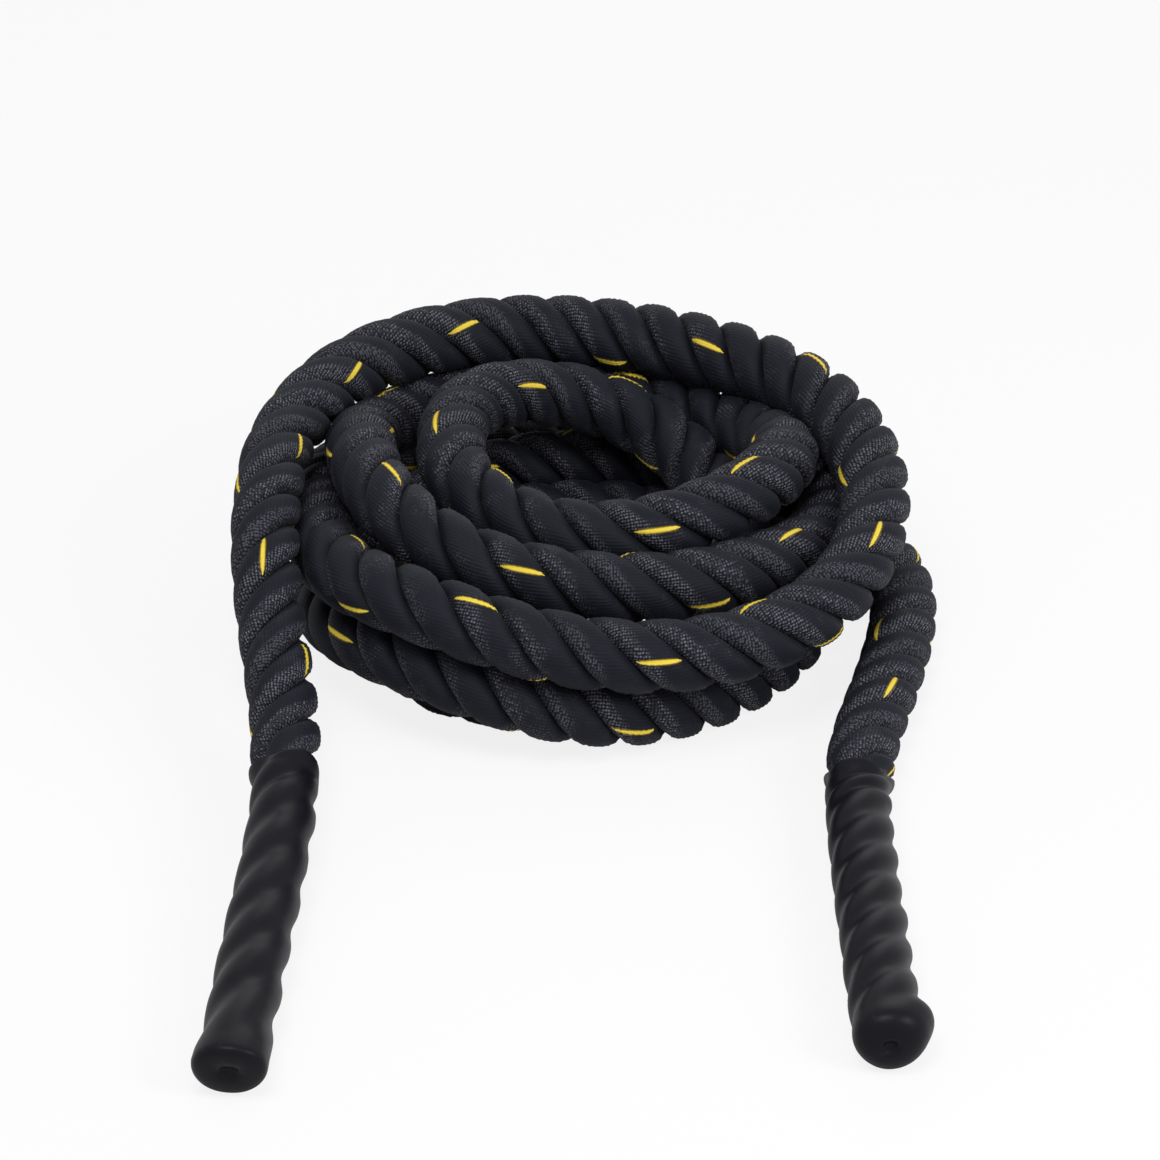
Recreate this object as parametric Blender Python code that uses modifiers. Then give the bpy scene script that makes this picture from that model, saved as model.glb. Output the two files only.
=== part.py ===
"""A battle rope: one length of thick three-strand rope, laid down as a pile of loops, with a grip sleeve
shrunk over each end. The two ends lie side by side in front of the pile.

Metres, +Z up, with the floor at z = 0 and the ends towards -Y. The strands of the lay are finer than this
model, so each stretch of rope is a plain round tube, and the sleeves keep the ribs that the strands raise.
"""

import math

import bmesh
import bpy
import numpy as np
from mathutils import Vector

# The rope
ROPE_DIAMETER = 0.038
STRANDS = 3
LAY_LENGTH = 0.080  # of the rope for one turn of a strand
FLAT_SHARE = 0.1  # of the diameter, pressed flat where the pile lies on the floor
CLEARANCE = 0.0003  # between pieces that touch

# The grip sleeves, shrunk from heavy tube
SLEEVE_LENGTH = 0.265
SLEEVE_DIAMETER = 0.036  # over the ribs
SLEEVE_WALL = 0.0015
DRAWN_OUT = 1.15  # by which the lay is longer where the rope is squeezed
RIB_HEIGHT = 0.001
RIB_FADE = 0.012  # over which the ribs run out towards the closed end
COLLAR_LIP = 0.0006  # that the mouth stands proud
COLLAR_WAVE = 0.0025  # by which the mouth's edge strays along the rope
COLLAR_DEPTH = 0.006
DOME_LENGTH = 0.013
DIMPLE_DEPTH = 0.003
DIMPLE_DIAMETER = 0.010
END_SPACE = 0.010  # between the rope's cut end and the inside of the closed end

# The tape round the cut ends, inside the sleeves
TAPE_LENGTH = 0.032
TAPE_THICKNESS = 0.0005

# How the tubes are divided
COIL_STATION_STEP = 30  # degrees between the stations below
COIL_POINTS_PER_STATION = 2  # so a loop has 24 points
COIL_BEVEL_RESOLUTION = 1
FREE_BEVEL_RESOLUTION = 4
SLEEVE_BEVEL_RESOLUTION = 6
TAPE_BEVEL_RESOLUTION = 6
FREE_POINT_STEP = 1.5 * ROPE_DIAMETER
SLEEVED_POINT_STEP = ROPE_DIAMETER / 3
SLEEVE_RING_STEP = 0.0048
DOME_RINGS = 5
ROUTE_READINGS = 40  # of the smooth route between two of its points
CUT_OVERRUN = 0.02
SMOOTH_ANGLE = 50  # degrees between faces that are shaded as one
CHORD_READINGS = 12  # along each straight piece of the pile, where its gaps are measured
NEAR_DIAMETERS = 3  # along the rope, within which it is too near itself to count as a gap

# What follows from the sizes above
VALLEY_RADIUS = SLEEVE_DIAMETER / 2 - RIB_HEIGHT
SLEEVE_SIDES = 2 * SLEEVE_BEVEL_RESOLUTION + 4
BORE_RADIUS = (VALLEY_RADIUS - SLEEVE_WALL) * math.cos(math.pi / SLEEVE_SIDES)
SLEEVED_ROPE_RADIUS = BORE_RADIUS - CLEARANCE
TAPED_ROPE_RADIUS = SLEEVED_ROPE_RADIUS - TAPE_THICKNESS - CLEARANCE
SLEEVE_BODY = SLEEVE_LENGTH - DOME_LENGTH
SLEEVED_LAY_LENGTH = DRAWN_OUT * LAY_LENGTH
ROPE_END = SLEEVE_LENGTH - SLEEVE_WALL - DIMPLE_DEPTH - END_SPACE  # from the sleeve's mouth
TAPE_START = ROPE_END - TAPE_LENGTH
STRAIGHT_RUN = ROPE_DIAMETER  # square to each joint between the pile and a free stretch
FLOOR_HEIGHT = ROPE_DIAMETER * (0.5 - FLAT_SHARE)  # of the rope's middle, where the pile lies on the floor

# The route of the rope's middle: x, y, height
LEFT_END_ROUTE = [
    (-0.1720, -0.520, 0.0180), (-0.1700, -0.455, 0.0180), (-0.1675, -0.395, 0.0190),
    (-0.1632, -0.332, 0.0230), (-0.1588, -0.275, 0.0270), (-0.1570, -0.224, 0.0310),
    (-0.1580, -0.184, 0.0360), (-0.1610, -0.151, 0.0460), (-0.1670, -0.119, 0.0610),
    (-0.1730, -0.086, 0.0790), (-0.1765, -0.050, 0.0970), (-0.1765, -0.006, 0.1060),
]
LEFT_MOUTH_INDEX = 6  # counts the points above, as the next ones do: the sleeve's mouth
COIL_START_INDEX = 9  # where the pile begins
RIGHT_END_ROUTE = [
    (0.1770, 0.078, 0.0160), (0.1890, 0.032, 0.0180), (0.1860, -0.014, 0.0196),
    (0.1780, -0.055, 0.0196), (0.1690, -0.094, 0.0200), (0.1590, -0.131, 0.0202),
    (0.1520, -0.166, 0.0189), (0.1485, -0.211, 0.0180), (0.1485, -0.267, 0.0180),
    (0.1500, -0.332, 0.0180), (0.1515, -0.400, 0.0180), (0.1525, -0.450, 0.0180), (0.1540, -0.515, 0.0180),
]
COIL_END_INDEX = 2
RIGHT_MOUTH_INDEX = 6

# The pile's loops: the radius and height of the rope's middle at each station, clockwise seen from above
COIL_MIDDLE = (-0.004, 0.044)
FIRST_STATION_ANGLE = -90  # degrees clockwise from +Y
COIL_STATIONS = [
    # The top loop: over the left end, round the back and down to the front
    (0.168, 0.107), (0.161, 0.110), (0.160, 0.109), (0.151, 0.107), (0.145, 0.107), (0.161, 0.104),
    (0.172, 0.088), (0.183, 0.070), (0.185, 0.062), (0.177, 0.068), (0.183, 0.097), (0.163, 0.076),
    # Under the first, down to the floor at the back and up again on the right
    (0.137, 0.063), (0.168, 0.042), (0.176, 0.022), (0.165, 0.017), (0.173, 0.042), (0.182, 0.064),
    (0.144, 0.047), (0.136, 0.069), (0.130, 0.076), (0.121, 0.080), (0.131, 0.095), (0.126, 0.108),
    # The back of the second loop, and the small loop that lies in it
    (0.117, 0.101), (0.142, 0.072), (0.145, 0.069), (0.142, 0.067), (0.143, 0.064), (0.132, 0.070),
    (0.121, 0.098), (0.108, 0.101), (0.092, 0.093), (0.082, 0.090), (0.079, 0.097), (0.075, 0.105),
    (0.068, 0.106), (0.076, 0.105), (0.091, 0.099), (0.102, 0.087), (0.102, 0.070), (0.094, 0.049),
    # Down to the floor, and round on it
    (0.099, 0.038), (0.101, 0.025), (0.107, 0.016), (0.129, 0.015), (0.139, 0.015), (0.120, 0.015),
    (0.096, 0.015), (0.086, 0.015), (0.085, 0.015), (0.085, 0.015), (0.092, 0.015), (0.118, 0.015),
    # The wide lower loop, which climbs over the one before and runs out at the right
    (0.139, 0.015), (0.140, 0.015), (0.151, 0.015), (0.173, 0.028), (0.176, 0.056), (0.158, 0.036),
    (0.137, 0.020), (0.126, 0.018), (0.124, 0.027), (0.119, 0.034), (0.131, 0.027), (0.167, 0.015),
]
BOX_MIDDLE = (0.0062, -0.10915)  # of the whole, in the route's own x and y, which becomes the origin


def spline_points(controls, steps):
    """Points of the uniform cubic B-spline through the places `steps`, counted in controls."""
    first = np.clip(steps.astype(int), 1, len(controls) - 3)
    u = (steps - first)[:, None]
    weights = ((1 - u) ** 3, 3 * u**3 - 6 * u**2 + 4, -3 * u**3 + 3 * u**2 + 3 * u + 1, u**3)
    return sum(w * controls[first - 1 + k] for k, w in enumerate(weights)) / 6


class Route:
    """The middle of the whole rope, read by the place in its list of controls or by the length along it."""

    def __init__(self):
        step = math.radians(COIL_STATION_STEP)
        reach = 3 / (2 + math.cos(step))  # a control lies this much further out than the smooth loop
        coil = []
        for k, (radius, height) in enumerate(COIL_STATIONS):
            angle = math.radians(FIRST_STATION_ANGLE) + k * step
            x = COIL_MIDDLE[0] + reach * radius * math.sin(angle)
            y = COIL_MIDDLE[1] + reach * radius * math.cos(angle)
            coil.append((x, y, max(height, FLOOR_HEIGHT)))
        self.controls = np.array(LEFT_END_ROUTE + coil + RIGHT_END_ROUTE) - (*BOX_MIDDLE, 0)
        self.coil_end = len(LEFT_END_ROUTE) + len(coil) + COIL_END_INDEX
        self.right_mouth = len(LEFT_END_ROUTE) + len(coil) + RIGHT_MOUTH_INDEX
        count = (len(self.controls) - 3) * ROUTE_READINGS + 1
        self.steps = np.linspace(1, len(self.controls) - 2, count)
        self.line = spline_points(self.controls, self.steps)
        runs = np.linalg.norm(np.diff(self.line, axis=0), axis=1)
        self.lengths = np.concatenate([[0], np.cumsum(runs)])

    def length_at(self, step):
        return float(np.interp(step, self.steps, self.lengths))

    def point(self, length):
        """The place at that length, straight on past either end of the route."""
        inside = min(max(length, 0), self.lengths[-1])
        place = Vector([float(np.interp(inside, self.lengths, self.line[:, k])) for k in range(3)])
        outward = self.line[0] - self.line[1] if length < 0 else self.line[-1] - self.line[-2]
        return place + Vector(outward).normalized() * abs(length - inside)

    def direction(self, length):
        return (self.point(length + CLEARANCE) - self.point(length - CLEARANCE)).normalized()


def material(name, colour, roughness):
    made = bpy.data.materials.new(name)
    made.use_nodes = True
    shader = made.node_tree.nodes["Principled BSDF"]
    shader.inputs["Base Color"].default_value = (*colour, 1)
    shader.inputs["Roughness"].default_value = roughness
    shader.inputs["Metallic"].default_value = 0
    made.diffuse_color = (*colour, 1)
    return made


def tube(name, points, radii, resolution, capped=True):
    """A poly curve with a round section, as a mesh with its caps welded on."""
    curve = bpy.data.curves.new(name, "CURVE")
    curve.dimensions = "3D"
    curve.twist_mode = "Z_UP"
    curve.bevel_depth = 1
    curve.bevel_resolution = resolution
    curve.use_fill_caps = capped
    spline = curve.splines.new("POLY")
    spline.points.add(len(points) - 1)
    for place, point, radius in zip(spline.points, points, radii):
        place.co = (*point, 1)
        place.radius = radius
    guide = bpy.data.objects.new(name + "_guide", curve)
    bpy.context.scene.collection.objects.link(guide)
    graph = bpy.context.evaluated_depsgraph_get()
    mesh = bpy.data.meshes.new_from_object(guide.evaluated_get(graph))
    mesh.name = name
    piece = bpy.data.objects.new(name, mesh)
    piece.matrix_world = guide.matrix_world
    bpy.data.objects.remove(guide)
    bpy.data.curves.remove(curve)
    edited = bmesh.new()
    edited.from_mesh(mesh)
    bmesh.ops.remove_doubles(edited, verts=edited.verts, dist=CLEARANCE / 10)
    bmesh.ops.recalc_face_normals(edited, faces=edited.faces)
    edited.to_mesh(mesh)
    edited.free()
    return piece


def finish(piece, collection, surface):
    collection.objects.link(piece)
    piece.data.materials.clear()
    piece.data.materials.append(surface)
    piece.data.shade_smooth()
    piece.data.set_sharp_from_angle(angle=math.radians(SMOOTH_ANGLE))
    return piece


def wall(piece, thickness):
    """The open surface gets its wall on the inner side."""
    shell = piece.modifiers.new("Wall", "SOLIDIFY")
    shell.thickness = thickness
    shell.offset = -1


def least_gap(points, diameter):
    """The least gap of a tube to itself, measured between points along it that aren't neighbours."""
    line = []
    for a, b in zip(points, points[1:]):
        line += [a.lerp(b, k / CHORD_READINGS) for k in range(CHORD_READINGS)]
    line = np.array(line)
    along = np.concatenate([[0], np.cumsum(np.linalg.norm(np.diff(line, axis=0), axis=1))])
    least = math.inf
    for i, point in enumerate(line):
        others = line[along > along[i] + NEAR_DIAMETERS * diameter]
        if len(others):
            least = min(least, float(np.linalg.norm(others - point, axis=1).min()))
    return least - diameter


def coil(route, collection, surface, cutters):
    """The pile: one unbroken tube, cut flat where it lies on the floor."""
    first = route.length_at(COIL_START_INDEX) + CLEARANCE / 2
    last = route.length_at(route.coil_end) - CLEARANCE / 2
    count = (route.coil_end - COIL_START_INDEX) * COIL_POINTS_PER_STATION
    steps = [COIL_START_INDEX + (k + 1) / COIL_POINTS_PER_STATION for k in range(count - 1)]
    lengths = [route.length_at(step) for step in steps]
    near = 1.5 * STRAIGHT_RUN
    points = [route.point(length) for length in lengths if first + near < length < last - near]
    start = [route.point(first), route.point(first) + route.direction(first) * STRAIGHT_RUN]
    end = [route.point(last) - route.direction(last) * STRAIGHT_RUN, route.point(last)]
    points = start + points + end
    piece = tube("rope_coil", points, [ROPE_DIAMETER / 2] * len(points), COIL_BEVEL_RESOLUTION)
    gap = least_gap(points, ROPE_DIAMETER)
    print(f"rope_coil: {len(points)} points, {last - first:.3f} m, least gap {gap * 1000:.2f} mm")

    low, high = np.min(points, axis=0), np.max(points, axis=0)
    size = [high[k] - low[k] + ROPE_DIAMETER + 2 * CUT_OVERRUN for k in range(2)] + [CUT_OVERRUN]
    bpy.ops.mesh.primitive_cube_add(size=1)
    cutter = bpy.context.object
    cutter.name = "floor_cutter"
    for vertex in cutter.data.vertices:
        vertex.co = [vertex.co[k] * size[k] for k in range(3)]
    cutter.location = [(low[0] + high[0]) / 2, (low[1] + high[1]) / 2, -CUT_OVERRUN / 2]
    for holder in cutter.users_collection:
        holder.objects.unlink(cutter)
    cutters.objects.link(cutter)
    cutter.hide_render = True
    cutter.display_type = "WIRE"
    cut = piece.modifiers.new("Floor", "BOOLEAN")
    cut.object = cutter
    cut.operation = "DIFFERENCE"
    cut.solver = "EXACT"
    finish(piece, collection, surface)


class End:
    """One end of the rope, with lengths counted from its sleeve's mouth towards the tip."""

    def __init__(self, route, side, mouth, joint):
        self.route = route
        self.side = side
        self.mouth = route.length_at(mouth)
        self.joint = route.length_at(joint)
        self.way = -1 if side == "left" else 1

    def point(self, length):
        return self.route.point(self.mouth + self.way * length)

    def direction(self, length):
        return self.route.direction(self.mouth + self.way * length) * self.way


def spaced(first, last, step):
    count = max(1, round(abs(last - first) / step))
    return [first + (last - first) * k / count for k in range(count)]


def rope_end(end, collection, surface):
    """The free stretch from the pile to the sleeve, and the squeezed rope inside it."""
    joint = -abs(end.joint - end.mouth) + CLEARANCE / 2
    neck = -COLLAR_DEPTH
    straight = [end.point(joint), end.point(joint) + end.direction(joint) * STRAIGHT_RUN]
    lengths = spaced(joint + STRAIGHT_RUN, neck, FREE_POINT_STEP)[1:] + [neck]
    radii = [ROPE_DIAMETER / 2] * (len(straight) + len(lengths))
    sleeved = spaced(0, TAPE_START - CLEARANCE - COLLAR_DEPTH, SLEEVED_POINT_STEP)
    lengths += sleeved + [TAPE_START - CLEARANCE - COLLAR_DEPTH]
    radii += [SLEEVED_ROPE_RADIUS] * (len(sleeved) + 1)
    taped = spaced(TAPE_START - CLEARANCE, ROPE_END, TAPE_LENGTH / 2) + [ROPE_END]
    lengths += taped
    radii += [TAPED_ROPE_RADIUS] * len(taped)
    points = straight + [end.point(length) for length in lengths]
    finish(tube("rope_end_" + end.side, points, radii, FREE_BEVEL_RESOLUTION), collection, surface)


def end_tape(end, collection, surface):
    lengths = spaced(TAPE_START, ROPE_END, TAPE_LENGTH / 2) + [ROPE_END]
    points = [end.point(length) for length in lengths]
    radii = [SLEEVED_ROPE_RADIUS] * len(points)
    piece = tube("end_tape_" + end.side, points, radii, TAPE_BEVEL_RESOLUTION, capped=False)
    wall(piece, TAPE_THICKNESS)
    finish(piece, collection, surface)


def handle_sleeve(end, collection, surface):
    """A closed-end shell with the strands' spiral ribs, a loose collar at its mouth and a dimpled round end."""
    lengths = spaced(0, SLEEVE_BODY, SLEEVE_RING_STEP) + [SLEEVE_BODY]
    middles = [end.point(length) for length in lengths]
    radii = [VALLEY_RADIUS] * len(middles)
    piece = tube("handle_sleeve_" + end.side, middles, radii, SLEEVE_BEVEL_RESOLUTION, capped=False)
    edited = bmesh.new()
    edited.from_mesh(piece.data)
    for vertex in edited.verts:
        k = min(range(len(middles)), key=lambda ring: (vertex.co - middles[ring]).length)
        along = end.direction(lengths[k])
        side = along.cross(Vector((0, 0, 1))).normalized()
        up = side.cross(along)
        out = vertex.co - middles[k]
        angle = math.atan2(out.dot(up), out.dot(side))
        turn = STRANDS * (angle + math.tau * lengths[k] / SLEEVED_LAY_LENGTH)
        fade = min(1, (SLEEVE_BODY - lengths[k]) / RIB_FADE)
        lip = COLLAR_LIP * max(0, 1 - lengths[k] / COLLAR_DEPTH)
        out = out.normalized() * (VALLEY_RADIUS + RIB_HEIGHT * fade * (1 + math.cos(turn)) / 2 + lip)
        stray = COLLAR_WAVE * (math.cos(turn) + math.sin(angle)) / 2 if k == 0 else 0
        vertex.co = middles[k] + out - along * stray
    close_end(edited, end)
    bmesh.ops.recalc_face_normals(edited, faces=edited.faces)
    edited.to_mesh(piece.data)
    edited.free()
    wall(piece, SLEEVE_WALL)
    finish(piece, collection, surface)


def close_end(edited, end):
    """Extrudes the open rim at the far end over a dome, and into its dimple."""
    along = end.direction(SLEEVE_BODY)
    middle = end.point(SLEEVE_BODY)
    near = SLEEVE_DIAMETER
    rim = [e for e in edited.edges if e.is_boundary and (e.verts[0].co - middle).length < near]
    turns = [math.radians(90) * k / DOME_RINGS for k in range(1, DOME_RINGS)]
    profile = [(VALLEY_RADIUS * math.cos(turn), DOME_LENGTH * math.sin(turn)) for turn in turns]
    profile.append((DIMPLE_DIAMETER / 2, DOME_LENGTH))
    profile.append((DIMPLE_DIAMETER / 4, DOME_LENGTH - DIMPLE_DEPTH))
    for wide, far in profile:
        made = bmesh.ops.extrude_edge_only(edited, edges=rim)["geom"]
        rim = [item for item in made if isinstance(item, bmesh.types.BMEdge)]
        for vertex in {v for edge in rim for v in edge.verts}:
            out = vertex.co - middle
            out -= along * out.dot(along)
            vertex.co = middle + out.normalized() * wide + along * far
    bmesh.ops.contextual_create(edited, geom=rim)


def main():
    for old in list(bpy.data.objects):
        bpy.data.objects.remove(old)
    parts = bpy.data.collections.new("battle_rope")
    cutters = bpy.data.collections.new("cutters")
    bpy.context.scene.collection.children.link(parts)
    bpy.context.scene.collection.children.link(cutters)
    route = Route()
    coil(route, parts, material("pile_rope", (0.020, 0.020, 0.023), 0.85), cutters)
    ends = (
        End(route, "left", LEFT_MOUTH_INDEX, COIL_START_INDEX),
        End(route, "right", route.right_mouth, route.coil_end),
    )
    for end in ends:
        rope_end(end, parts, material(f"{end.side}_rope", (0.020, 0.020, 0.023), 0.85))
        handle_sleeve(end, parts, material(f"{end.side}_sleeve", (0.016, 0.016, 0.017), 0.35))
        end_tape(end, parts, material(f"{end.side}_tape", (0.045, 0.045, 0.048), 0.6))
    whole = ends[1].mouth - ends[0].mouth + 2 * ROPE_END
    print(f"rope: {whole:.3f} m from cut end to cut end")


main()
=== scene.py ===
import math

import bpy
import numpy as np
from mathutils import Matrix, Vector, noise
from mathutils.kdtree import KDTree


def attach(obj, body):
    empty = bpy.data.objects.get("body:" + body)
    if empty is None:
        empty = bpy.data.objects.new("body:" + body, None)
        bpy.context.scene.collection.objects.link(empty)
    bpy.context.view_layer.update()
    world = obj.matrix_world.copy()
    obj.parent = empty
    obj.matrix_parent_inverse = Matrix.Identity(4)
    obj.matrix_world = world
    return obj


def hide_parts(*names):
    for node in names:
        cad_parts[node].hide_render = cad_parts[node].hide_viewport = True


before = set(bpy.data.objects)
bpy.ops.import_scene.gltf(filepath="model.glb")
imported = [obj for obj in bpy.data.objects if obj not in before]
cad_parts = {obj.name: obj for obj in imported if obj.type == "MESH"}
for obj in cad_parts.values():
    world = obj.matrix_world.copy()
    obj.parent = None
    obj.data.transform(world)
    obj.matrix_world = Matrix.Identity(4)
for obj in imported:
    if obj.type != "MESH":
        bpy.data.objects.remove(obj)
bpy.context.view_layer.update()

# A battle rope, dressed: the rope's three strands and their yarns, the tracer yarn, and the shrunk grip
# sleeves. Metres throughout, with +Z up, the floor at z = 0 and the two ends towards -Y.

# The photograph's camera, aimed at a point in the pile, a little in front of its middle
AIM = Vector((-0.0062, 0.10915, 0.041))
CAMERA_DISTANCE = 2.5
CAMERA_ELEVATION = math.radians(29)
CAMERA_LENS = 135.0  # mm, on the sensor below
CAMERA_SENSOR = 36.0  # mm wide

# The light, and the floor that it falls on
WORLD_LEVEL = 0.41  # of the light from all around, where 1 is the white that the camera sees
LAMPS = [  # each one's name, place, size across and watts
    ("key", (-0.3, -0.9, 1.9), 0.9, 17),
    ("fill", (1.5, -1.1, 1.3), 1.0, 18),
    ("back", (0.3, 1.9, 1.4), 1.4, 5),
]
WHITE = (1, 1, 1, 1)
FLOOR_SIZE = 40
FLOOR_COLOUR = (0.9, 0.9, 0.9, 1)
FLOOR_ROUGHNESS = 0.9
FLOOR_GLOW = 0.84  # the share of the floor's white that no shadow darkens

# The rope
ROPE_DIAMETER = 0.038
FLAT_SHARE = 0.1  # of the diameter, pressed flat where the pile lies on the floor
STRANDS = 3
LAYS = [  # up to each length along the rope, the length in which a strand makes one turn
    (0.25, 0.112), (0.44, 0.080), (0.70, 0.1006), (1.00, 0.080), (1.50, 0.088), (2.10, 0.081),
    (2.50, 0.088), (5.38, 0.080), (5.64, 0.088),
]
FIRST_TURN = math.radians(-20)  # of the lay, at the first cut end
STRAND_OFFSET = 0.0109  # from the rope's middle to a strand's
STRAND_DEPTH = 0.0094  # half of a strand's section, along the rope's radius
STRAND_BREADTH = 0.0130  # half of it, round the rope
FULLNESS = [  # how full the rope lies at each length along it: drawn tight in its ends, slack round the back
    (0.25, 0.95), (0.50, 0.97), (0.62, 1.12), (0.94, 1.12), (1.05, 1.00), (1.28, 1.02), (1.50, 1.00),
    (2.50, 1.02), (2.62, 1.07), (2.85, 1.07), (3.00, 1.00), (5.05, 1.00), (5.20, 0.96), (5.38, 0.95),
]
SHIFTS = [  # at each length, how far right of the solid and how far above it the dressed rope lies
    (0.42, 0, 0), (0.49, 0.0035, 0), (0.54, 0.0030, -0.001), (0.62, 0.0010, -0.003), (0.92, 0, -0.003),
    (1.04, 0, 0), (1.42, 0, 0), (1.50, 0, 0.004), (1.58, 0, 0.004), (1.66, 0, 0),
    (2.35, 0, 0), (2.48, 0, 0.003), (2.72, 0, 0.003), (2.85, 0, 0),
]
STRAND_PIECES = 14  # of the section, across one strand
PIECE_READINGS = 40  # of the section's outline, across one piece
HALF_READINGS = 720  # of half a strand's outline, from its crest round to its inmost point
RING_STEP = 0.0028
PRESSED_GAP = 0.0001  # left between two passes that press on each other
PASS_REACH = 0.046  # within which another pass of the rope may press
PASS_SPACING = 0.1  # along the rope, past which it counts as another pass
ROPE_SHARP_ANGLE = math.radians(70)  # past which an edge isn't shaded smooth, as at the cut ends

# Its yarns, on the surface of a strand
YARN_PITCH = 0.0020
YARN_CREEP = 1.506  # that a yarn moves across its strand for each unit along the rope
YARN_DRIFT = 1.2 * YARN_PITCH  # in all, that a yarn wanders to its sides
STITCH_LENGTH = 0.0015
STITCH_SCATTER = 0.4  # of a yarn and of a stitch, within which a stitch may lie off its place
STRAND_STAGGER = 0.31  # of a yarn, by which the next strand's stitches are moved over
RELIEF_AND_GLINT_SIDE = (0.0, -0.6, -0.8)  # the way that the flank of each strand faces which has the stronger stitch relief and the painted glints
STRAND_GIRTH = 25 * YARN_PITCH  # across the strand, after which the tracer shows again
TRACER_WIDTH = 0.0041  # at the middle of its strand, with its darker rim
TRACER_REACH = 0.0178  # to each side of that middle, where it has narrowed to nothing
TRACER_START = 0.03975  # across the first strand, at the first cut end
CREASE_START = 0.0140  # from the middle of a strand, where the painted shade of the crease to the next one begins
CREASE_END = 0.0180

# The grip sleeves and what is in them
SLEEVE_LENGTH = 0.265
SLEEVE_DIAMETER = 0.036
SLEEVE_WALL = 0.0015
WAYS = {"left": -1, "right": 1}  # from each sleeve's mouth to its closed end, along the rope
RIB_HEIGHT = 0.0021
RIB_FADE = 0.020  # before the closed end, where the ribs begin to sink
RIB_SUNK = 0.7  # the share of their height that is gone at the closed end
RIB_SHARPNESS = 1.4  # of the ribs' section, where 1 is an even wave
COLLAR_LIP = 0.0020  # by which the mouth stands wider
COLLAR_WAVE = 0.0030  # from the tops to the hollows of its wavy edge
COLLAR_DEPTH = 0.014  # into the sleeve, where the lip has closed on the rope
COLLAR_REACH = 0.05  # into the sleeve, where the waves and the slant of its mouth have died away
COLLAR_SIDES = -0.2  # the upward part of the way out, from which on a point lies at the sides or above
COLLAR_SLANT = {"left": 0.017, "right": 0.0125}  # by which the mouth lies further in at its sides than below
COLLAR_CROWN = {"left": 0.0, "right": 0.0130}  # and further in again above
LUMP_HEIGHT = 0.0006  # of the uneven shrink
LUMP_SIZE = 0.022
LUMP_CLEAR = 0.5  # of the end's radius, within which its lumps sink away
END_SQUARENESS = {"left": 5.5, "right": 2.6}  # of the closed end's profile, where 2 is round
END_BULGE = {  # one way along X: that way, the height of the bulge, and its place before the tip
    "left": (-1, 0.0026, 0.006), "right": (1, 0.0055, 0.021),
}
END_BULGE_SIZE = 0.013
END_LEAN = {"left": 0.0045, "right": 0.0}  # of the end's middle, outwards: its top leans twice as far
LEAN_START = 0.05  # before the tip
LEAN_END = 0.01
DOME_LENGTH = 0.013
DOME_RINGS = 12
DIMPLE_DEPTH = 0.003
DIMPLE_DIAMETER = 0.010
DIMPLE_RIM = 1.25  # of the dimple's radius, where the closed end gives way to it
DIMPLE_PROFILE = [  # from the rim inwards: the share of its radius and of its depth
    (1.12, 0.065), (0.9, 0.195), (0.7, 0.45), (0.45, 0.8), (0.2, 1),
]
END_SPACE = 0.010
TAPE_LENGTH = 0.032
TAPE_RAMP = 0.006  # before the tape, where the rope draws in to it
SLEEVE_SIDES = 72
SLEEVE_STEP = 0.002
SLEEVE_SHARP_ANGLE = math.radians(50)
NECK_START = 0.015  # before the mouth, where the rope begins to draw in
NECK_END = 0.0015
SLEEVED_RADIUS = 0.0149
TAPED_RADIUS = 0.0140
SLEEVE_BODY = SLEEVE_LENGTH - DOME_LENGTH
ROPE_END = SLEEVE_LENGTH - SLEEVE_WALL - DIMPLE_DEPTH - END_SPACE  # from the sleeve's mouth
TAPE_START = ROPE_END - TAPE_LENGTH
FLOOR_HEIGHT = ROPE_DIAMETER * (0.5 - FLAT_SHARE)  # of the rope's middle, where the pile lies on the floor

# The route of the rope's middle: x, y, height
LEFT_END_ROUTE = [
    (-0.1720, -0.520, 0.0180), (-0.1700, -0.455, 0.0180), (-0.1675, -0.395, 0.0190),
    (-0.1632, -0.332, 0.0230), (-0.1588, -0.275, 0.0270), (-0.1570, -0.224, 0.0310),
    (-0.1580, -0.184, 0.0360), (-0.1610, -0.151, 0.0460), (-0.1670, -0.119, 0.0610),
    (-0.1730, -0.086, 0.0790), (-0.1765, -0.050, 0.0970), (-0.1765, -0.006, 0.1060),
]
LEFT_MOUTH = 6  # the point above at the sleeve's mouth
RIGHT_END_ROUTE = [
    (0.1770, 0.078, 0.0160), (0.1890, 0.032, 0.0180), (0.1860, -0.014, 0.0196),
    (0.1780, -0.055, 0.0196), (0.1690, -0.094, 0.0200), (0.1590, -0.131, 0.0202),
    (0.1520, -0.166, 0.0189), (0.1485, -0.211, 0.0180), (0.1485, -0.267, 0.0180),
    (0.1500, -0.332, 0.0180), (0.1515, -0.400, 0.0180), (0.1525, -0.450, 0.0180), (0.1540, -0.515, 0.0180),
]
RIGHT_MOUTH = 6

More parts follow.
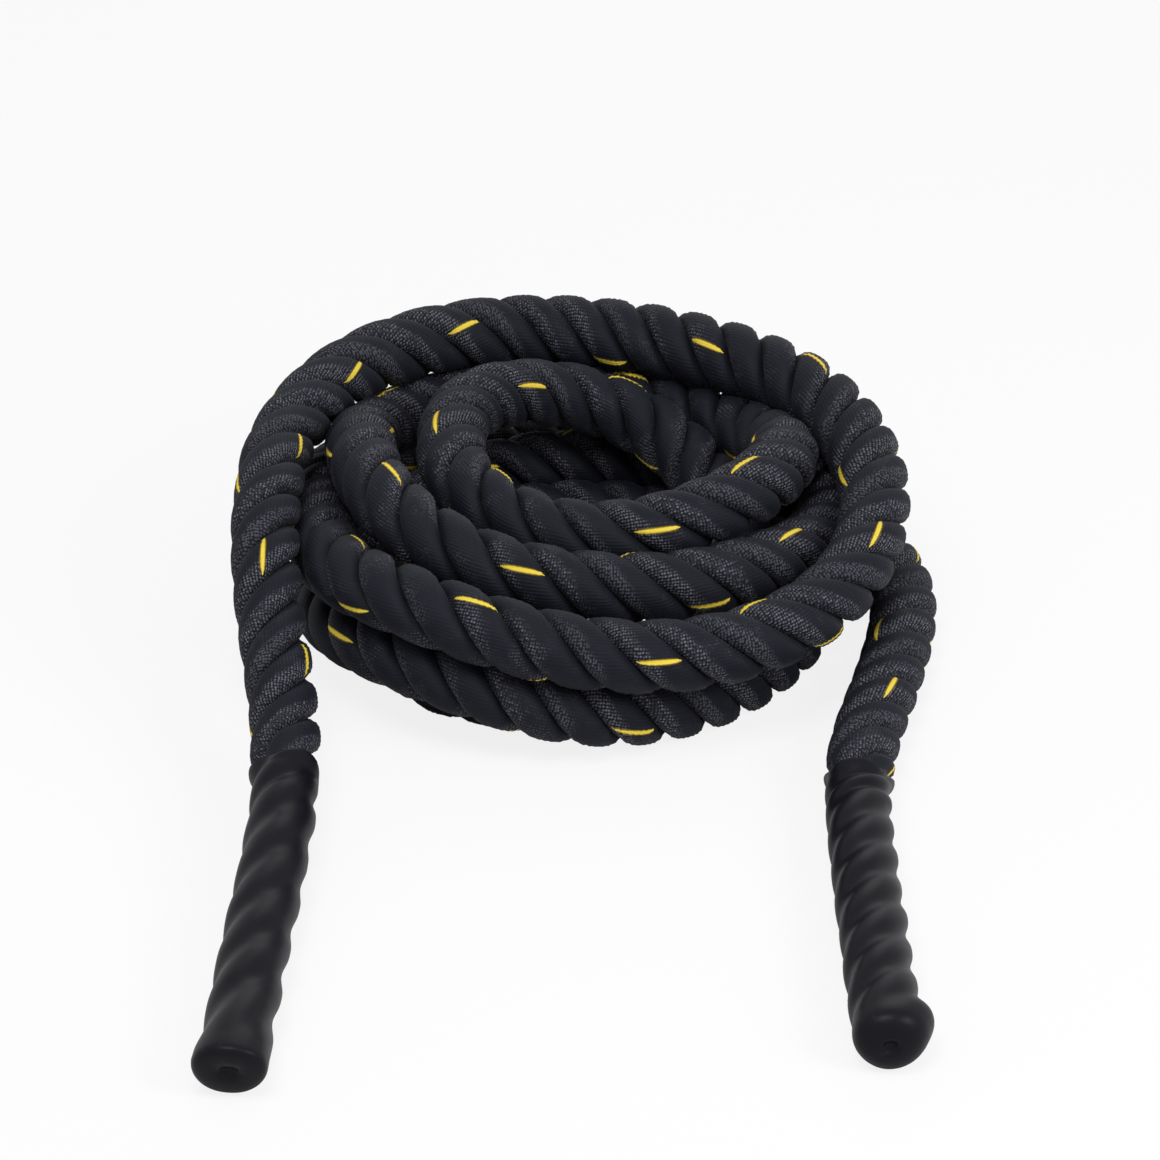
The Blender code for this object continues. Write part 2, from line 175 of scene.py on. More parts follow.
# The pile's loops: the radius and height of the rope's middle at each station, clockwise seen from above
COIL_STATION_STEP = math.radians(30)
COIL_MIDDLE = (-0.004, 0.044)
FIRST_STATION_ANGLE = math.radians(-90)  # clockwise from +Y
COIL_STATIONS = [
    # The top loop: over the left end, round the back and down to the front
    (0.168, 0.107), (0.161, 0.110), (0.160, 0.109), (0.151, 0.107), (0.145, 0.107), (0.161, 0.104),
    (0.172, 0.088), (0.183, 0.070), (0.185, 0.062), (0.177, 0.068), (0.183, 0.097), (0.163, 0.076),
    # Under the first, down to the floor at the back and up again on the right
    (0.137, 0.063), (0.168, 0.042), (0.176, 0.022), (0.165, 0.017), (0.173, 0.042), (0.182, 0.064),
    (0.144, 0.047), (0.136, 0.069), (0.130, 0.076), (0.121, 0.080), (0.131, 0.095), (0.126, 0.108),
    # The back of the second loop, and the small loop that lies in it
    (0.117, 0.101), (0.142, 0.072), (0.145, 0.069), (0.142, 0.067), (0.143, 0.064), (0.132, 0.070),
    (0.121, 0.098), (0.108, 0.101), (0.092, 0.093), (0.082, 0.090), (0.079, 0.097), (0.075, 0.105),
    (0.068, 0.106), (0.076, 0.105), (0.091, 0.099), (0.102, 0.087), (0.102, 0.070), (0.094, 0.049),
    # Down to the floor, and round on it
    (0.099, 0.038), (0.101, 0.025), (0.107, 0.016), (0.129, 0.015), (0.139, 0.015), (0.120, 0.015),
    (0.096, 0.015), (0.086, 0.015), (0.085, 0.015), (0.085, 0.015), (0.092, 0.015), (0.118, 0.015),
    # The wide lower loop, which climbs over the one before and runs out at the right
    (0.139, 0.015), (0.140, 0.015), (0.151, 0.015), (0.173, 0.028), (0.176, 0.056), (0.158, 0.036),
    (0.137, 0.020), (0.126, 0.018), (0.124, 0.027), (0.119, 0.034), (0.131, 0.027), (0.167, 0.015),
]
BOX_MIDDLE = (0.0062, -0.10915)  # of the whole, in the route's own x and y, which becomes the origin
ROUTE_READINGS = 40  # of the smooth route between two of its points
PATH_STEP = 0.008  # between the points taken along the rope's middle line for its path

# The colours of the yarns, among them the painted shade between the yarns and in the creases, and the painted
# glints
YARN_DARK = (0.0044, 0.0052, 0.0092, 1)
YARN_LIGHT = (0.0093, 0.0104, 0.0168, 1)
YARN_CLOUD = (0.0118, 0.0126, 0.0206, 1)
YARN_GAP_SHADE = (0.0040, 0.0043, 0.0060, 1)
YARN_GLINT = (0.215, 0.218, 0.262, 1)
PAINTED_CREASE_SHADE = (0.0060, 0.0064, 0.0085, 1)
TRACER_RIM = (0.17, 0.10, 0.004, 1)
TRACER_YELLOW = (0.86, 0.65, 0.055, 1)
TRACER_GLINT = (0.90, 0.82, 0.30, 1)

# The colours of the sleeves and the tape
SLEEVE_DARK = (0.0030, 0.0030, 0.0056, 1)
SLEEVE_LIGHT = (0.0060, 0.0058, 0.0096, 1)
SCUFF_GREY = (0.026, 0.026, 0.031, 1)
TAPE_DARK = (0.03, 0.03, 0.032, 1)
TAPE_LIGHT = (0.06, 0.06, 0.064, 1)


def route_controls():
    """The points that draw the route: those of the left end, of the pile's loops and of the right end."""
    reach = 3 / (2 + math.cos(COIL_STATION_STEP))  # a smooth route on a bend runs inside its points
    coil = []
    for k, (radius, height) in enumerate(COIL_STATIONS):
        angle = FIRST_STATION_ANGLE + k * COIL_STATION_STEP
        x = COIL_MIDDLE[0] + reach * radius * math.sin(angle)
        y = COIL_MIDDLE[1] + reach * radius * math.cos(angle)
        coil.append((x, y, max(height, FLOOR_HEIGHT)))
    return np.array(LEFT_END_ROUTE + coil + RIGHT_END_ROUTE) - (*BOX_MIDDLE, 0)


def spline_points(controls, steps):
    """Points of the uniform cubic B-spline through the places `steps`, counted in controls."""
    first = np.clip(steps.astype(int), 1, len(controls) - 3)
    u = (steps - first)[:, None]
    weights = ((1 - u) ** 3, 3 * u**3 - 6 * u**2 + 4, -3 * u**3 + 3 * u**2 + 3 * u + 1, u**3)
    return sum(w * controls[first - 1 + k] for k, w in enumerate(weights)) / 6


class Rope:
    """The middle line from cut end to cut end, with a frame that doesn't twist and the turn of the lay."""

    def __init__(self):
        controls = route_controls()
        count = (len(controls) - 3) * ROUTE_READINGS + 1
        steps = np.linspace(1, len(controls) - 2, count)
        self.line = spline_points(controls, steps)
        run = np.concatenate([[0], np.cumsum(np.linalg.norm(np.diff(self.line, axis=0), axis=1))])
        left_mouth = float(np.interp(LEFT_MOUTH, steps, run))
        right_mouth = float(np.interp(len(LEFT_END_ROUTE) + len(COIL_STATIONS) + RIGHT_MOUTH, steps, run))
        start = left_mouth - ROPE_END
        self.run = run - start
        self.length = right_mouth + ROPE_END - start
        self.mouths = {"left": ROPE_END, "right": self.length - ROPE_END}
        places, right, higher = np.transpose(SHIFTS)
        self.line[:, 0] += np.interp(self.run, places, right)
        self.line[:, 2] += np.interp(self.run, places, higher)
        self.rings = round(self.length / RING_STEP)
        self.lengths = np.linspace(0, self.length, self.rings + 1)
        self.middles = self.points(self.lengths)
        self.along = self.directions(self.lengths)
        self.side = self.untwisted_sides()
        self.up = np.cross(self.along, self.side)

    def points(self, lengths):
        return np.stack([np.interp(lengths, self.run, self.line[:, k]) for k in range(3)], axis=1)

    def directions(self, lengths):
        ahead = self.points(lengths + RING_STEP) - self.points(lengths - RING_STEP)
        return ahead / np.linalg.norm(ahead, axis=1, keepdims=True)

    def untwisted_sides(self):
        """A way to the side at each ring, carried from one to the next with no turn round the rope."""
        side = np.cross(self.along[0], (0, 0, 1))
        sides = []
        for along in self.along:
            side = side - along * side.dot(along)
            side = side / np.linalg.norm(side)
            sides.append(side)
        return np.array(sides)

    def nearest_rings(self, lengths):
        return np.clip(np.round(lengths / self.length * self.rings).astype(int), 0, self.rings)

    def turn(self, lengths):
        """The angle of the first strand's crest, from the side towards up."""
        places = np.array([0] + [place for place, _ in LAYS])
        turns = np.concatenate([[0], np.cumsum(np.diff(places) / [lay for _, lay in LAYS])])
        return FIRST_TURN + math.tau * np.interp(lengths, places, turns)


def strand_section():
    """Across one strand, from crease to crease: out from the rope's middle, round it, and the distance."""
    turns = np.linspace(0, math.pi, HALF_READINGS + 1)
    angles = np.arctan2(STRAND_BREADTH * np.sin(turns), STRAND_OFFSET + STRAND_DEPTH * np.cos(turns))
    crease = np.interp(math.pi / STRANDS, angles, turns)
    turns = np.linspace(-crease, crease, STRAND_PIECES * PIECE_READINGS + 1)
    out = STRAND_OFFSET + STRAND_DEPTH * np.cos(turns)
    round_it = STRAND_BREADTH * np.sin(turns)
    across = np.concatenate([[0], np.cumsum(np.hypot(np.diff(out), np.diff(round_it)))])
    places = np.linspace(0, across[-1], STRAND_PIECES + 1)
    out = np.interp(places, across, out)
    round_it = np.interp(places, across, round_it)
    return out, round_it, places - across[-1] / 2


def eased(values, start, end):
    """0 up to start, 1 from end, and a smooth rise between them."""
    u = np.clip((values - start) / (end - start), 0, 1)
    return u * u * (3 - 2 * u)


def set_back(side, upward):
    """How far in the mouth's edge lies: nothing below the rope, more at its sides and most above it."""
    slant = COLLAR_SLANT[side] * eased(upward, -1, COLLAR_SIDES)
    return slant + COLLAR_CROWN[side] * eased(upward, COLLAR_SIDES, 1)


def thinning(rope, upward):
    """The scale of the section along the rope: full where it is free, less where a sleeve squeezes it."""
    crest = STRAND_OFFSET + STRAND_DEPTH
    left = (rope.mouths["left"] - rope.lengths)[:, None]
    right = (rope.lengths - rope.mouths["right"])[:, None]
    behind = np.maximum(left - set_back("left", upward), right - set_back("right", upward))
    squeezed = eased(behind, -NECK_START, -NECK_END)
    taped = eased(np.maximum(left, right), TAPE_START - TAPE_RAMP, TAPE_START)
    full = crest * np.interp(rope.lengths, *np.transpose(FULLNESS))[:, None]
    radius = full + (SLEEVED_RADIUS - full) * squeezed + (TAPED_RADIUS - SLEEVED_RADIUS) * taped
    return radius / crest


def passes_beside(rope, tree, k):
    """The nearest middle, with its distance, of each other pass of the rope that lies within reach."""
    nearest = {}
    for place, other, distance in tree.find_range(rope.middles[k], PASS_REACH):
        apart = abs(rope.lengths[other] - rope.lengths[k])
        if apart < PASS_SPACING:
            continue
        stretch = next((s for s in nearest if abs(s - other) * RING_STEP < PASS_SPACING), other)
        if stretch not in nearest or distance < nearest[stretch][0]:
            nearest[stretch] = (distance, np.array(place))
    return nearest.values()


def press_passes(rope, rings):
    """Flattens each ring where another pass of the rope lies against it, halfway between the two middles."""
    tree = KDTree(len(rope.middles))
    for k, middle in enumerate(rope.middles):
        tree.insert(middle, k)
    tree.balance()
    for k, middle in enumerate(rope.middles):
        for distance, place in passes_beside(rope, tree, k):
            towards = (place - middle) / distance
            beyond = (rings[k] - middle) @ towards - (distance / 2 - PRESSED_GAP)
            rings[k] -= np.maximum(beyond, 0)[:, None] * towards


def strand_rings(rope, out, round_it):
    """A ring of points round each middle, over all the strands, and how far each faces the side of the
    stronger stitch relief and the painted glints.
    """
    angles = np.arctan2(round_it, out)[:-1]
    radii = np.tile(np.hypot(out, round_it)[:-1], STRANDS)
    turns = np.concatenate([angles + math.tau * strand / STRANDS for strand in range(STRANDS)])
    angle = (rope.turn(rope.lengths)[:, None] + turns)[:, :, None]
    outward = np.cos(angle) * rope.side[:, None] + np.sin(angle) * rope.up[:, None]
    over = np.cos(angle) * rope.up[:, None] - np.sin(angle) * rope.side[:, None]
    radius = thinning(rope, outward[:, :, 2]) * radii
    rings = rope.middles[:, None] + outward * radius[:, :, None]
    press_passes(rope, rings)
    rings[:, :, 2] = np.maximum(rings[:, :, 2], 0)
    relief_and_glint_facing = (over - YARN_CREEP * rope.along[:, None]) @ RELIEF_AND_GLINT_SIDE / math.hypot(1, YARN_CREEP)
    return rings, relief_and_glint_facing


def ring_faces(count, sides):
    """The faces between each ring and the next, and those from the two end rings to the middles there."""
    ring = np.arange(count - 1)[:, None] * sides
    here = np.arange(sides)
    following = (here + 1) % sides
    between = np.stack([ring + here, ring + following, ring + sides + following, ring + sides + here], axis=2)
    last_ring = (count - 1) * sides
    first_middle, last_middle = count * sides, count * sides + 1
    ends = np.concatenate([
        np.stack([following, here, np.full(sides, first_middle)], axis=1),
        np.stack([last_ring + here, last_ring + following, np.full(sides, last_middle)], axis=1),
    ])
    return between.reshape(-1, 4), ends


def add_lay_map(mesh, across, lengths, ends):
    """The rope's own map: across its strand and along the rope, in metres, at each corner of its faces."""
    corners = np.empty((len(lengths) - 1, STRANDS * STRAND_PIECES, 4, 2))
    corners[:, :, [0, 3], 0] = np.tile(across[:-1], STRANDS)[:, None]
    corners[:, :, [1, 2], 0] = np.tile(across[1:], STRANDS)[:, None]
    corners[:, :, :2, 1] = lengths[:-1, None, None]
    corners[:, :, 2:, 1] = lengths[1:, None, None]
    places = np.concatenate([corners.reshape(-1), np.zeros(ends.size * 2)])
    mesh.uv_layers.new(name="lay").data.foreach_set("uv", places.astype(np.float32))


def add_values(mesh, name, domain, values):
    attribute = mesh.attributes.new(name, "FLOAT", domain)
    attribute.data.foreach_set("value", values.astype(np.float32))


def rope_skin(rope):
    """The rope's surface: the outer outline of its three strands, swept along it with the lay."""
    out, round_it, across = strand_section()
    rings, relief_and_glint_facing = strand_rings(rope, out, round_it)
    count, sides = rings.shape[:2]
    between, ends = ring_faces(count, sides)
    points = np.concatenate([rings.reshape(-1, 3), rope.middles[[0, -1]]])
    mesh = bpy.data.meshes.new("rope_lay")
    mesh.from_pydata(points.tolist(), [], between.tolist() + ends.tolist())
    add_lay_map(mesh, across, rope.lengths, ends)
    # The cut ends count as the second strand, so that the tracer isn't on them
    numbers = np.tile(np.repeat(np.arange(STRANDS), STRAND_PIECES), count - 1)
    add_values(mesh, "strand", "FACE", np.concatenate([numbers, np.ones(len(ends))]))
    add_values(mesh, "relief_and_glint_facing", "POINT", np.concatenate([relief_and_glint_facing.reshape(-1), [0, 0]]))
    piece = bpy.data.objects.new("rope_lay", mesh)
    bpy.context.scene.collection.objects.link(piece)
    mesh.shade_smooth()
    mesh.set_sharp_from_angle(angle=ROPE_SHARP_ANGLE)
    return piece


def end_profile(squareness):
    """The closed end from the side inwards: the share of the sleeve's radius, and of its own length."""
    turns = [math.radians(90) * k / DOME_RINGS for k in range(1, DOME_RINGS)]
    dome = [(math.cos(t) ** (2 / squareness), math.sin(t) ** (2 / squareness)) for t in turns]
    dimple = DIMPLE_DIAMETER / SLEEVE_DIAMETER
    dip = DIMPLE_DEPTH / DOME_LENGTH
    dome = [(wide, far) for wide, far in dome if wide > dimple * DIMPLE_RIM]
    return dome + [(dimple * wide, 1 - dip * deep) for wide, deep in DIMPLE_PROFILE]


def sleeve_blank(name, squareness):
    """A straight closed tube along +Z, drawn out of a circle ring by ring and rounded over at its far end."""
    bpy.ops.object.select_all(action="DESELECT")
    bpy.ops.mesh.primitive_circle_add(vertices=SLEEVE_SIDES, radius=SLEEVE_DIAMETER / 2)
    piece = bpy.context.object
    piece.name = name
    bpy.ops.object.mode_set(mode="EDIT")
    bpy.ops.mesh.select_all(action="SELECT")
    steps = round(SLEEVE_BODY / SLEEVE_STEP)
    for _ in range(steps):
        bpy.ops.mesh.extrude_region_move(TRANSFORM_OT_translate={"value": (0, 0, SLEEVE_BODY / steps)})
    wide_before, far_before = 1, 0
    for wide, far in end_profile(squareness):
        rise = (far - far_before) * DOME_LENGTH
        bpy.ops.mesh.extrude_region_move(TRANSFORM_OT_translate={"value": (0, 0, rise)})
        bpy.ops.transform.resize(value=(wide / wide_before, wide / wide_before, 1))
        wide_before, far_before = wide, far
    bpy.ops.mesh.merge(type="CENTER")
    bpy.ops.object.mode_set(mode="OBJECT")
    return piece


def sleeve_frames(rope, side, depth):
    """At each depth into a sleeve: the length along the rope, its middle, and the ways in, aside and up."""
    way = WAYS[side]
    body = np.minimum(depth, SLEEVE_BODY)
    lengths = rope.mouths[side] + way * body
    inward = rope.directions(lengths) * way
    middles = rope.points(lengths) + inward * (depth - body)[:, None]
    aside = rope.side[rope.nearest_rings(lengths)]
    aside = aside - inward * (aside * inward).sum(axis=1, keepdims=True)
    aside /= np.linalg.norm(aside, axis=1, keepdims=True)
    return lengths, middles, inward, aside, np.cross(inward * way, aside)


def shrunk_points(rope, side, points):
    """The blank's points, bent along the rope and shrunk into the grooves between its strands."""
    depth = points[:, 2]
    angle = np.arctan2(points[:, 1], points[:, 0])
    wide = np.hypot(points[:, 0], points[:, 1]) / (SLEEVE_DIAMETER / 2)
    lengths, middles, inward, aside, up = sleeve_frames(rope, side, depth)
    outward = aside * np.cos(angle)[:, None] + up * np.sin(angle)[:, None]
    upward = outward[:, 2]

    ribs = np.cos(STRANDS * (angle - rope.turn(lengths)))
    fade = 1 - RIB_SUNK * eased(depth, SLEEVE_BODY - RIB_FADE, SLEEVE_BODY)
    radius = SLEEVE_DIAMETER / 2 - RIB_HEIGHT * ((1 - ribs) / 2) ** RIB_SHARPNESS * fade
    radius += COLLAR_LIP * (1 - eased(depth, 0, COLLAR_DEPTH))
    radius *= wide
    lumps = [noise.noise(Vector(place)) for place in (middles + outward * radius[:, None]) / LUMP_SIZE]
    radius += LUMP_HEIGHT * np.array(lumps) * np.minimum(wide / LUMP_CLEAR, 1)
    way_out, bulge, before_tip = END_BULGE[side]
    near_bulge = np.exp(-(((depth - SLEEVE_LENGTH + before_tip) / END_BULGE_SIZE) ** 2))
    radius += bulge * near_bulge * np.maximum(outward[:, 0] * way_out, 0) ** 2

    stray = (COLLAR_WAVE * ribs / 2 - set_back(side, upward)) * (1 - np.clip(depth / COLLAR_REACH, 0, 1))
    near_tip = eased(depth, SLEEVE_LENGTH - LEAN_START, SLEEVE_LENGTH - LEAN_END)
    lean = END_LEAN[side] * (1 + upward * wide) * near_tip
    placed = middles + inward * (lean - stray)[:, None] + outward * radius[:, None]
    placed[:, 2] = np.maximum(placed[:, 2], 0)
    return placed


def add_wall(piece):
    """Turns the sleeve's faces outwards and gives it its wall, inwards of them."""
    bpy.ops.object.select_all(action="DESELECT")
    piece.select_set(True)
    bpy.context.view_layer.objects.active = piece
    bpy.ops.object.mode_set(mode="EDIT")
    bpy.ops.mesh.select_all(action="SELECT")
    bpy.ops.mesh.normals_make_consistent(inside=False)
    bpy.ops.object.mode_set(mode="OBJECT")
    wall = piece.modifiers.new("Wall", "SOLIDIFY")
    wall.thickness = SLEEVE_WALL
    wall.offset = -1
    bpy.ops.object.modifier_apply(modifier="Wall")
    bpy.ops.object.shade_smooth_by_angle(angle=SLEEVE_SHARP_ANGLE)


def grip_sleeve(rope, side):
    """The shrunk sleeve: bent along the rope, ribbed by the strands, with a loose wavy collar."""
    piece = sleeve_blank("grip_sleeve_" + side, END_SQUARENESS[side])
    points = np.empty(len(piece.data.vertices) * 3)
    piece.data.vertices.foreach_get("co", points)
    placed = shrunk_points(rope, side, points.reshape(-1, 3))
    piece.data.vertices.foreach_set("co", placed.reshape(-1))
    add_wall(piece)
    return piece


class Value:
    """A shader's socket that is added, multiplied and so on as a number is."""

    def __init__(self, surface, socket):
        self.surface = surface
        self.socket = socket

    def __add__(self, other):
        return self.surface.math("ADD", self, other)

    def __sub__(self, other):
        return self.surface.math("SUBTRACT", self, other)

    def __rsub__(self, other):
        return self.surface.math("SUBTRACT", other, self)

    def __mul__(self, other):
        return self.surface.math("MULTIPLY", self, other)

    def __truediv__(self, other):
        return self.surface.math("DIVIDE", self, other)

    def __pow__(self, other):
        return self.surface.math("POWER", self, other)

    __radd__ = __add__
    __rmul__ = __mul__


class Surface:
    """A material, or the world, made of nodes."""

    def __init__(self, owner):
        owner.use_nodes = True
        self.owner = owner
        self.tree = owner.node_tree

    def node(self, kind, settings, inputs, output=0):
        made = self.tree.nodes.new(kind)
        for name, value in settings.items():
            setattr(made, name, value)
        for name, value in inputs.items():
            self.feed(made.inputs[name], value)
        return Value(self, made.outputs[output])

    def feed(self, socket, value):
        if isinstance(value, Value):
            self.tree.links.new(value.socket, socket)
        else:
            socket.default_value = value

    def math(self, operation, *values):
        return self.node("ShaderNodeMath", {"operation": operation}, dict(enumerate(values)))

    def smooth(self, value, low, high):
        """0 below low, 1 above high and a smooth rise between."""
        settings = {"interpolation_type": "SMOOTHSTEP"}
        inputs = {"Value": value, "From Min": low, "From Max": high}
        return self.node("ShaderNodeMapRange", settings, inputs)

    def place(self):
        return self.node("ShaderNodeTexCoord", {}, {}, output="Object")

    def attribute(self, name):
        return self.node("ShaderNodeAttribute", {"attribute_name": name}, {}, output="Fac")

    def part(self, vector, number):
        """One of a vector's three numbers."""
        return self.node("ShaderNodeSeparateXYZ", {}, {0: vector}, output=number)

    def noise(self, vector, scale, detail=2.0, roughness=0.5):
        inputs = {"Vector": vector, "Scale": scale, "Detail": detail, "Roughness": roughness}
        return self.node("ShaderNodeTexNoise", {}, inputs)

    def cells(self, vector, scatter, output):
        """A cell round one point in each unit square, with its Distance from the point or its own Color."""
        inputs = {"Vector": vector, "Scale": 1.0, "Randomness": scatter}
        return self.node("ShaderNodeTexVoronoi", {"voronoi_dimensions": "2D"}, inputs, output)

    def mixed(self, factor, one, other):
        inputs = {0: factor, 6: one, 7: other}
        return self.node("ShaderNodeMix", {"data_type": "RGBA"}, inputs, output=2)

    def bump(self, height, strength, distance):
        inputs = {"Strength": strength, "Distance": distance, "Height": height}
        return self.node("ShaderNodeBump", {}, inputs)

    def ray(self, kind):
        """1 for the rays of one kind, such as those from the camera, and 0 for all others."""
        return self.node("ShaderNodeLightPath", {}, {}, output=kind)

    def principled(self, **inputs):
        shader = self.tree.nodes["Principled BSDF"]
        for name, value in inputs.items():
            self.feed(shader.inputs[name.replace("_", " ")], value)


def tracer_yarn(surface, across, girth, strand):
    """Where the yellow yarn shows on the first strand, narrowing to both flanks, and where its core does."""
    round_share = surface.math("FRACT", (girth - TRACER_START) / STRAND_GIRTH)
    off_middle = surface.math("ABSOLUTE", round_share - 0.5) * (2 * STRAND_GIRTH / TRACER_WIDTH)
    narrowed = surface.math("MAXIMUM", 1 - surface.math("ABSOLUTE", across / TRACER_REACH) ** 3.0, 0.0)
    edge = off_middle / (surface.math("SQRT", narrowed) + 0.001)
    first_strand = 1 - surface.smooth(strand, low=0.3, high=0.6)
    tracer = (1 - surface.smooth(edge, low=0.90, high=1.0)) * first_strand
    core = 1 - surface.smooth(edge, low=0.42, high=0.78)
    return tracer, core


def rope_yarn():
    """Black polyester: yarns side by side across each strand, with stronger stitch relief and painted glints
    on one flank, painted shade between the yarns and in the creases, and one yellow yarn.
    """
    surface = Surface(bpy.data.materials.new("rope_yarn"))
    lay = surface.node("ShaderNodeUVMap", {"uv_map": "lay"}, {})
    across = surface.part(lay, 0)
    along = surface.part(lay, 1)
    strand = surface.attribute("strand")
    place = surface.place()
    patches = surface.noise(place, scale=45.0, detail=3.0, roughness=0.6)
    clouds = surface.noise(place, scale=14.0, detail=3.0)
    drift = (surface.noise(place, scale=60.0) - 0.5) * YARN_DRIFT
    # The flank that faces one way gets stronger stitch relief and painted glints
    relief_and_glint_flank = surface.smooth(across * surface.attribute("relief_and_glint_facing"), low=-0.001, high=0.006)
    bright = surface.smooth(patches * 0.85 + relief_and_glint_flank * 0.48, low=0.42, high=0.88)

    # The yarns run round the strand, each with its crest where its stitches lie on average
    girth = across + along * YARN_CREEP
    yarns = (girth + drift) / YARN_PITCH
    rib = surface.math("COSINE", (yarns - STITCH_SCATTER / 2) * math.tau) * 0.5 + 0.5
    stitches = {0: yarns + strand * STRAND_STAGGER, 1: along / STITCH_LENGTH}
    cell = surface.node("ShaderNodeCombineXYZ", {}, stitches)
    nearness = surface.cells(cell, STITCH_SCATTER, "Distance")
    chance = surface.part(surface.cells(cell, STITCH_SCATTER, "Color"), 0)
    stitch = (1 - surface.smooth(nearness, low=0.15, high=0.50)) * (0.35 + 0.65 * rib)
    glint = stitch * (0.3 + 0.7 * chance) * bright

    # Darker in the troughs between the yarns: painted shade, over a tone that differs at random with the
    # patches
    black = surface.mixed(rib * (0.3 + 0.7 * patches), YARN_DARK, YARN_LIGHT)
    black = surface.mixed(clouds * 0.35, black, YARN_CLOUD)
    # Painted shade in the gaps between the rows of yarns, where the patches are bright
    black = surface.mixed((1 - rib) * bright * 0.60, black, YARN_GAP_SHADE)
    # Painted highlights: the stitches in the bright patches lightened as if they caught the light
    black = surface.mixed(glint * 0.90, black, YARN_GLINT)
    # Painted shade: darker towards the creases between the strands
    crease = surface.smooth(surface.math("ABSOLUTE", across), CREASE_START, CREASE_END)
    black = surface.mixed(crease * 0.20, black, PAINTED_CREASE_SHADE)

    tracer, core = tracer_yarn(surface, across, girth, strand)
    yellow = surface.mixed(core, TRACER_RIM, TRACER_YELLOW)
    # Painted glints on the tracer's stitches
    yellow = surface.mixed(stitch * core * 0.35, yellow, TRACER_GLINT)
    height = rib * 0.5 + stitch * bright * 0.8 + tracer * 1.4
    surface.principled(
        Base_Color=surface.mixed(tracer, black, yellow), Roughness=0.66 - 0.2 * glint,
        Normal=surface.bump(height, strength=0.45, distance=0.0005),
        Specular_IOR_Level=0.15, Sheen_Weight=0.02, Sheen_Roughness=0.4,
    )
    return surface.owner


def sleeve_shrink():
    """Black shrink tube: satin, with faint lengthways drag marks and small scuffs."""
    surface = Surface(bpy.data.materials.new("sleeve_shrink"))
    place = surface.place()
    clouds = surface.noise(place, scale=22.0, detail=4.0)
    grain = surface.noise(place, scale=900.0, detail=3.0)
    drawn = surface.node("ShaderNodeMapping", {}, {"Vector": place, "Scale": (1.0, 0.12, 1.0)})
    drag = surface.noise(drawn, scale=260.0, detail=4.0, roughness=0.6)
    scuffs = surface.smooth(surface.noise(place, scale=150.0, detail=5.0, roughness=0.7), low=0.60, high=0.74)
    base = surface.mixed(clouds, SLEEVE_DARK, SLEEVE_LIGHT)
    height = grain * 0.15 + drag * 0.5 + clouds * 2.2
    surface.principled(
        Base_Color=surface.mixed(scuffs * 0.25, base, SCUFF_GREY),
        Roughness=0.33 + 0.12 * clouds + 0.12 * scuffs,
        Normal=surface.bump(height, strength=0.35, distance=0.0005),
        Specular_IOR_Level=0.115,
    )
    return surface.owner


def end_tape():
    """Dark cloth tape with its fine threads."""
    surface = Surface(bpy.data.materials.new("end_tape"))
    place = surface.place()
    threads = surface.node("ShaderNodeTexWave", {"bands_direction": "Y"}, {"Vector": place, "Scale": 300.0})
    clouds = surface.noise(place, scale=60.0, detail=3.0)
    surface.principled(
        Base_Color=surface.mixed(clouds, TAPE_DARK, TAPE_LIGHT), Roughness=0.55 + 0.15 * clouds,
        Normal=surface.bump(threads, strength=0.4, distance=0.0002),
    )
    return surface.owner


def photo_camera():
    data = bpy.data.cameras.new("photo_camera")
    data.lens = CAMERA_LENS
    data.sensor_width = CAMERA_SENSOR
    camera = bpy.data.objects.new("photo_camera", data)
    back = Vector((0, -math.cos(CAMERA_ELEVATION), math.sin(CAMERA_ELEVATION)))
    camera.location = AIM + back * CAMERA_DISTANCE
    camera.rotation_euler = (-back).to_track_quat("-Z", "Y").to_euler()
    bpy.context.scene.collection.objects.link(camera)
    bpy.context.scene.camera = camera


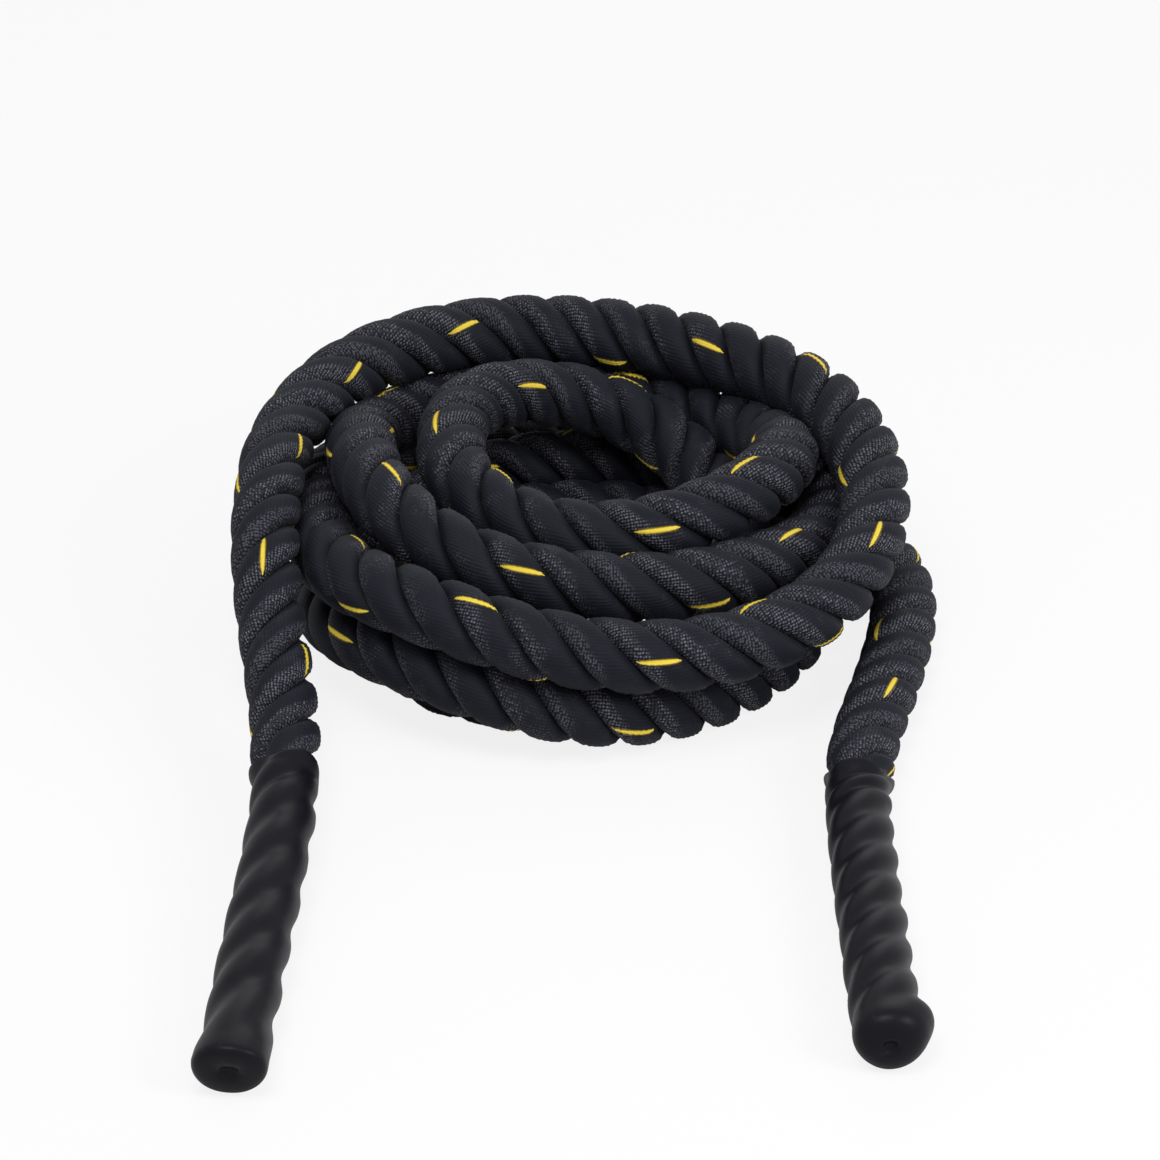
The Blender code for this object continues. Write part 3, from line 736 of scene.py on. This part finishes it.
def white_surroundings():
    """White for the rays that look at the background, and a plain level for those that light the rope."""
    world = bpy.data.worlds.new("studio")
    bpy.context.scene.world = world
    surface = Surface(world)
    seen = surface.math("MAXIMUM", surface.ray("Is Camera Ray"), surface.ray("Is Glossy Ray"))
    seen = surface.math("MAXIMUM", seen, surface.ray("Is Transmission Ray"))
    background = surface.tree.nodes["Background"]
    background.inputs["Color"].default_value = WHITE
    surface.feed(background.inputs["Strength"], WORLD_LEVEL + (1 - WORLD_LEVEL) * seen)


def floor():
    """A wide pale floor, seen as near white, that keeps the rope's shadow."""
    bpy.ops.object.select_all(action="DESELECT")
    bpy.ops.mesh.primitive_plane_add(size=FLOOR_SIZE)
    plane = bpy.context.object
    plane.name = "floor"
    surface = Surface(bpy.data.materials.new("floor"))
    surface.principled(Base_Color=FLOOR_COLOUR, Roughness=FLOOR_ROUGHNESS)
    lit = Value(surface, surface.tree.nodes["Principled BSDF"].outputs[0])
    glow = surface.node("ShaderNodeEmission", {}, {"Color": WHITE, "Strength": 1.0})
    glowing = surface.ray("Is Camera Ray") * FLOOR_GLOW
    mixed = surface.node("ShaderNodeMixShader", {}, {0: glowing, 1: lit, 2: glow})
    surface.feed(surface.tree.nodes["Material Output"].inputs["Surface"], mixed)
    plane.data.materials.append(surface.owner)


def lamp(name, place, size, watts):
    data = bpy.data.lights.new(name, "AREA")
    data.shape = "DISK"
    data.size = size
    data.energy = watts
    made = bpy.data.objects.new(name, data)
    made.location = place
    made.rotation_euler = (AIM - Vector(place)).to_track_quat("-Z", "Y").to_euler()
    bpy.context.scene.collection.objects.link(made)


def dress_rope(rope):
    skin = rope_skin(rope)
    skin.data.materials.append(rope_yarn())
    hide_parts("rope_coil", "rope_end_left", "rope_end_right")
    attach(skin, "root")
    count = round(rope.length / PATH_STEP)
    path = rope.points(np.linspace(0, rope.length, count + 1))


def dress_sleeves(rope):
    shrink = sleeve_shrink()
    for side in WAYS:
        piece = grip_sleeve(rope, side)
        piece.data.materials.append(shrink)
        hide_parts("handle_sleeve_" + side)
        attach(piece, "root")


def dress_tapes():
    cloth = end_tape()
    for side in WAYS:
        bpy.data.objects["end_tape_" + side].material_slots[0].material = cloth


def main():
    bpy.context.scene.view_settings.view_transform = "Standard"
    photo_camera()
    rope = Rope()
    dress_rope(rope)
    dress_sleeves(rope)
    dress_tapes()
    white_surroundings()
    floor()
    for one in LAMPS:
        lamp(*one)


main()
